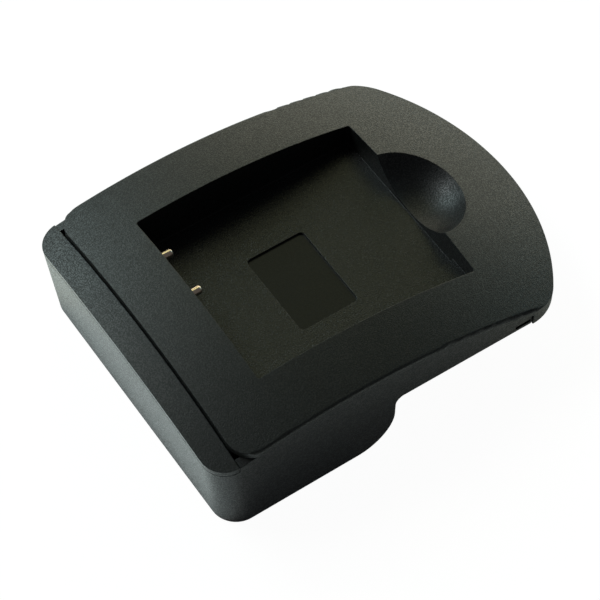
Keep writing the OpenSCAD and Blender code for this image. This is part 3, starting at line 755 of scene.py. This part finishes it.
@dataclass
class BatteryPlate:
    """The crowned plate with its pocket, recess and thumb scoop.

    Attributes:
        floor_z: Height of the pocket's floor.
        rail_h: Height of the rail beside it.
        pocket_end: Place of the pocket's end towards the nose.
        recess_depth: Depth of the plain recess in it.
        recess_middle: Middle of the recess.
        recess_reach: Half length and width of the recess.
        scoop_centre: Centre of the scoop's dish.
        scoop_r: Radius of the dish.
        dish_slack: Distance from the dish within which a face counts as on it.
        level_slack: The same for the heights of the floor and the rail.
        recess_slack: The same for the recess's floor.
        level_cosine: Least upward part of a level face's normal.
        recess_cosine: The same on the recess's floor.
    """

    floor_z: float = 13.5
    rail_h: float = 1.2
    pocket_end: float = 18.2
    recess_depth: float = 0.4
    recess_middle: Pair = (-4.4, -1.45)
    recess_reach: Pair = (5.7, 8.35)
    scoop_centre: Triple = (20.2, 0.0, 25.85)
    scoop_r: float = 12.05
    dish_slack: float = 0.25
    level_slack: float = 0.1
    recess_slack: float = 0.05
    level_cosine: float = 0.9
    recess_cosine: float = 0.5

    def build(self) -> None:
        """Stand the rounded moulding in for the plate, with its smoother fields."""
        piece = RoundedPlate("battery_plate", Body.PLATE, PLATE_FINISH).build()
        TrueCurves.paint(piece, FLOOR_FINISH, self.in_pocket)
        TrueCurves.paint(piece, SCOOP_FINISH, self.in_scoop)
        TrueCurves.paint(piece, RECESS_FINISH, self.in_recess)

    def in_pocket(self, place: Vector, normal: Vector) -> bool:
        """Test whether a face lies on the pocket's floor or its rail.

        Args:
            place: The face's centre, in millimetres.
            normal: The face's normal.

        Returns:
            Whether it does.
        """
        low = self.floor_z - self.level_slack
        high = self.floor_z + self.rail_h + self.level_slack
        return low < place.z < high and normal.z > self.level_cosine and place.x < self.pocket_end

    def in_scoop(self, place: Vector, normal: Vector) -> bool:
        """Test whether a face lies on the dish and looks into it.

        Args:
            place: The face's centre, in millimetres.
            normal: The face's normal.

        Returns:
            Whether it does.
        """
        inward = Vector(self.scoop_centre) - place
        return abs(inward.length - self.scoop_r) < self.dish_slack and normal.dot(inward) > 0

    def in_recess(self, place: Vector, normal: Vector) -> bool:
        """Test whether a face lies on the recess's floor.

        Args:
            place: The face's centre, in millimetres.
            normal: The face's normal.

        Returns:
            Whether it does.
        """
        inside = all(abs(place[k] - self.recess_middle[k]) < self.recess_reach[k] for k in (0, 1))
        depth = abs(place.z - (self.floor_z - self.recess_depth))
        return inside and depth < self.recess_slack and normal.z > self.recess_cosine


@dataclass
class ContactPin:
    """A turned pin: the flange that stops it behind the wall, and its domed shank.

    Attributes:
        side: Letter of the pin.
        body: Body that it rides on.
        shank_r: Radius of the shank, in millimetres.
        flange_l: Thickness of the flange.
        longer: How far the tip stands past the solid's.
        dome_r: Radius of the dome.
        sides: Facets round the pin.
        rings: Steps in the dome.
        end_cosine: Least part along X of the normal of the end that is shaped.
        smooth_deg: Angle under which neighbouring faces are shaded as one.
    """

    side: str
    body: Body
    shank_r: float = 0.8
    flange_l: float = 0.5
    longer: float = 0.5
    dome_r: float = 0.68
    sides: int = 40
    rings: int = 8
    end_cosine: float = 0.9
    smooth_deg: float = 35.0

    def build(self) -> bpy.types.Object:
        """Turn the pin along X and put it in the solid's place.

        Returns:
            The finished piece.
        """
        node = "contact_pin_" + self.side
        low, high = (Vector(corner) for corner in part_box(node))
        piece = self.flange(low, high)
        piece.name = piece.data.name = node + "_turned"
        self.shank(piece, low, high)
        piece.data.materials.append(PIN_FINISH.material())
        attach(piece, self.body.value)
        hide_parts(node)
        LOG.info("%s: %d faces", piece.name, len(piece.data.polygons))
        return piece

    def flange(self, low: Vector, high: Vector) -> bpy.types.Object:
        """Add the disc that the pin starts from.

        Args:
            low: Lowest corner of the solid's box, in metres.
            high: Highest corner.

        Returns:
            The disc, at its place, with its object at the origin.
        """
        middle = (low + high) / 2
        thick = self.flange_l * MM
        bpy.ops.object.select_all(action="DESELECT")
        bpy.ops.mesh.primitive_cylinder_add(
            vertices=self.sides, radius=(high.y - low.y) / 2, depth=thick,
            rotation=(0, math.pi / 2, 0), location=(low.x + thick / 2, middle.y, middle.z))
        bpy.ops.object.transform_apply(location=True, rotation=True, scale=True)
        return bpy.context.active_object

    def shank(self, piece: bpy.types.Object, low: Vector, high: Vector) -> None:
        """Inset the disc's face, draw the shank out of it and round its end.

        Args:
            piece: The disc.
            low: Lowest corner of the solid's box, in metres.
            high: Highest corner.
        """
        bpy.ops.object.mode_set(mode="EDIT")
        bpy.ops.mesh.select_mode(type="FACE")
        form = bmesh.from_edit_mesh(piece.data)
        for face in form.faces:
            face.select_set(face.normal.x > self.end_cosine)
        bmesh.update_edit_mesh(piece.data)
        bpy.ops.mesh.inset(thickness=(high.y - low.y) / 2 - self.shank_r * MM, depth=0.0)
        length = high.x - low.x + (self.longer - self.flange_l) * MM
        bpy.ops.mesh.extrude_region_move(TRANSFORM_OT_translate={"value": (length, 0, 0)})
        bpy.ops.mesh.bevel(offset=self.dome_r * MM, offset_type="OFFSET", segments=self.rings,
                           profile=0.5, affect="EDGES")
        bpy.ops.object.mode_set(mode="OBJECT")
        bpy.ops.object.shade_smooth_by_angle(angle=math.radians(self.smooth_deg))


@dataclass
class Contacts:
    """Pins, springs and strips that carry the current to the battery."""

    def build(self) -> None:
        """Turn the two pins and dress the other contact parts."""
        dress("contact_block", BLOCK_FINISH)
        ContactPin("a", Body.PIN_A).build()
        ContactPin("b", Body.PIN_B).build()
        for side in SIDES:
            dress("pin_spring_" + side, SPRING_FINISH)
            dress("plate_terminal_" + side, BRASS_FINISH)
            dress("base_finger_" + side, BRASS_FINISH)


@dataclass
class FoldingPlug:
    """The barrel with its two blades, and the lugs that they press on."""

    def build(self) -> None:
        """Stand finer copies in for the barrel and the blades, and dress the lugs."""
        TrueCurves("plug_carrier", Body.PLUG, PLUG_FINISH).build()
        for side in SIDES:
            TrueCurves("plug_blade_" + side, Body.PLUG, SPRING_FINISH).build()
            dress("plug_contact_" + side, BRASS_FINISH)


@dataclass
class Circuit:
    """The board and what is mounted on it.

    Attributes:
        coats: Finish of each node.
    """

    coats: dict[str, Finish] = field(default_factory=lambda: {
        "main_board": BOARD_FINISH,
        "transformer_core": FERRITE_FINISH,
        "filter_inductor": FERRITE_FINISH,
        "transformer_bobbin": NYLON_FINISH,
        "transformer_winding": TAPE_FINISH,
        "bulk_capacitor_a": SLEEVE_FINISH,
        "bulk_capacitor_b": SLEEVE_FINISH,
        "output_capacitor": SLEEVE_FINISH,
        "safety_capacitor": DIPPED_FINISH,
        "bridge_rectifier": EPOXY_FINISH,
        "switching_transistor": EPOXY_FINISH,
        "control_chip": EPOXY_FINISH,
        "fuse_resistor": RESISTOR_FINISH,
        "indicator_lamp": LAMP_FINISH,
    })

    def build(self) -> None:
        """Dress each part of the circuit."""
        for node, coat in self.coats.items():
            dress(node, coat)


@dataclass(frozen=True)
class Lamp:
    """A soft panel that faces the part.

    Attributes:
        name: Name of the lamp.
        place: Its middle, in metres.
        size: Its width and height, in metres.
        radiance: How bright its face is, where 1 is white.
        colour: Its colour.
    """

    name: str
    place: Triple
    size: Pair
    radiance: float
    colour: Colour

    def hang(self) -> None:
        """Make the lamp and turn its face to the part."""
        data = bpy.data.lights.new(self.name, "AREA")
        data.shape = "RECTANGLE"
        data.size, data.size_y = self.size
        data.energy = self.radiance * math.pi * self.size[0] * self.size[1]
        data.color = self.colour
        lamp = bpy.data.objects.new(self.name, data)
        lamp.location = self.place
        lamp.rotation_euler = (-Vector(self.place)).to_track_quat("-Z", "Y").to_euler()
        bpy.context.scene.collection.objects.link(lamp)


@dataclass
class Studio:
    """White table, window light and camera.

    Attributes:
        target: Point that the camera looks at, in millimetres.
        distance: Distance from there to the camera.
        azimuth: Camera's bearing, in degrees.
        elevation: Camera's height angle, in degrees.
        roll: Turn about the line of sight, in degrees.
        lens: Focal length in millimetres on the sensor.
        sensor: Width of the sensor, in millimetres.
        nearest: Nearest distance that the camera shows, in metres.
        table_size: Length of the table's sides, in metres.
        table_tone: Colour of the table.
        painted_light_gloss_tone: Painted light: colour, brighter than white, that the part's gloss
            finds on the table in the painted light patch behind the part.
        painted_shade_gloss_tone: Painted shade: dimmer colour that the gloss finds on the rest of
            the table.
        painted_light_behind: Distances behind the middle, in metres, over which the painted light
            patch starts.
        painted_light_beside: Places along Y, in metres, over which it starts.
        glow: Strength of the white that the camera sees on the table.
        glow_share: Share of that white; the rest keeps the part's shadow.
        room_tone: Colour of the dim surroundings.
        room_light: Their strength.
        lamps: The lamps.
    """

    target: Triple = (-7.452, -5.333, 15.0)
    distance: float = 397.6
    azimuth: float = -35.383
    elevation: float = 55.822
    roll: float = 1.510
    lens: float = 146.6
    sensor: float = 36.0
    nearest: float = 0.01
    table_size: float = 6.0
    table_tone: Colour = (0.86, 0.86, 0.85)
    # Painted light and shade on the table for gloss: these tones and places are set here, not cast
    # by the lamps.
    painted_light_gloss_tone: Colour = (2.8, 2.8, 2.77)
    painted_shade_gloss_tone: Colour = (1.4, 1.4, 1.4)
    painted_light_behind: Pair = (0.035, 0.041)
    painted_light_beside: Pair = (-0.028, -0.020)
    glow: float = 1.05
    glow_share: float = 0.92
    room_tone: Colour = (0.95, 0.97, 1.0)
    room_light: float = 0.085
    lamps: tuple[Lamp, ...] = (
        Lamp("window", (0.706, 0.659, 0.259), (1.0, 0.5), 2.15, (1.0, 0.975, 0.76)),
        Lamp("sky", (-0.453, 0.503, 0.867), (0.34, 0.34), 8.8, (0.94, 1.0, 0.98)),
        Lamp("slant", (-0.218, 0.814, 0.707), (0.4, 0.4), 9.0, (0.78, 1.0, 1.0)),
        Lamp("front", (0.388, 0.555, 0.867), (0.6, 0.5), 0.9, (0.96, 1.0, 0.55)),
        Lamp("right", (0.903, 0.079, 0.423), (0.5, 0.5), 0.6, (0.45, 0.90, 1.0)),
    )

    def camera(self) -> None:
        """Place the camera at the photograph's viewing angle."""
        turn, lift, roll = (math.radians(a) for a in (self.azimuth, self.elevation, self.roll))
        back = Vector((math.sin(turn) * math.cos(lift), -math.cos(turn) * math.cos(lift),
                       math.sin(lift)))
        right = (-back).cross(Vector((0, 0, 1))).normalized()
        up = right.cross(-back)
        level = math.cos(roll) * right + math.sin(roll) * up
        upright = -math.sin(roll) * right + math.cos(roll) * up
        data = bpy.data.cameras.new("camera")
        data.lens = self.lens
        data.sensor_width = self.sensor
        data.clip_start = self.nearest
        camera = bpy.data.objects.new("camera", data)
        bpy.context.scene.collection.objects.link(camera)
        turned = Matrix((level, upright, back)).transposed().to_4x4()
        turned.translation = (Vector(self.target) + self.distance * back) * MM
        camera.matrix_world = turned
        bpy.context.scene.camera = camera

    def table(self) -> None:
        """Lay the pale table. The camera sees it white, apart from the part's shadow."""
        bpy.ops.mesh.primitive_plane_add(size=self.table_size, location=(0, 0, 0))
        table = bpy.context.active_object
        table.name = "table"
        made = bpy.data.materials.new("table_white")
        sheet = Sheet(made)
        seen = sheet.node("LightPath", out="Is Camera Ray")
        mirrored = sheet.node("LightPath", out="Is Glossy Ray")
        along = sheet.node("SeparateXYZ", None, {"Vector": sheet.place()}, "X")
        across = sheet.node("SeparateXYZ", None, {"Vector": sheet.place()}, "Y")
        # Painted light and shade: glossy rays find the table painted brighter than white behind the
        # part and dimmer in front of it, like a patch of window light and a shadow.
        painted_light_mask = (0.0 - along).above(*self.painted_light_behind) * across.above(*self.painted_light_beside)
        painted_gloss_tone = sheet.mix(painted_light_mask, self.painted_shade_gloss_tone, self.painted_light_gloss_tone)
        tone = sheet.mix(mirrored, self.table_tone, painted_gloss_tone)
        matt = sheet.node("BsdfDiffuse", None, {"Color": tone})
        white = sheet.node("Emission", None, {"Color": (1.0, 1.0, 1.0), "Strength": self.glow})
        sheet.finish(sheet.node("MixShader", None, {0: seen * self.glow_share, 1: matt, 2: white}))
        table.data.materials.append(made)

    def world(self) -> None:
        """Fill the surroundings with dim light, white where the camera sees them."""
        world = bpy.data.worlds.new("room")
        bpy.context.scene.world = world
        sheet = Sheet(world)
        seen = sheet.node("LightPath", out="Is Camera Ray")
        dim = sheet.node("Background", None, {"Color": self.room_tone, "Strength": self.room_light})
        white = sheet.node("Background", None, {"Color": (1.0, 1.0, 1.0), "Strength": 1.0})
        sheet.finish(sheet.node("MixShader", None, {0: seen, 1: dim, 2: white}), "OutputWorld")

    def build(self) -> None:
        """Build the studio round the part."""
        self.camera()
        self.table()
        self.world()
        for lamp in self.lamps:
            lamp.hang()
        bpy.context.scene.view_settings.view_transform = "Standard"


def main() -> None:
    """Build the sub-assemblies and the studio."""
    logging.basicConfig(level=logging.INFO, format="%(name)s: %(message)s")
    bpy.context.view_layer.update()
    for part in (Housing(), BatteryPlate(), Contacts(), FoldingPlug(), Circuit()):
        part.build()
        LOG.info("%s done", type(part).__name__)
    Studio().build()


if __name__ == "__main__":
    main()
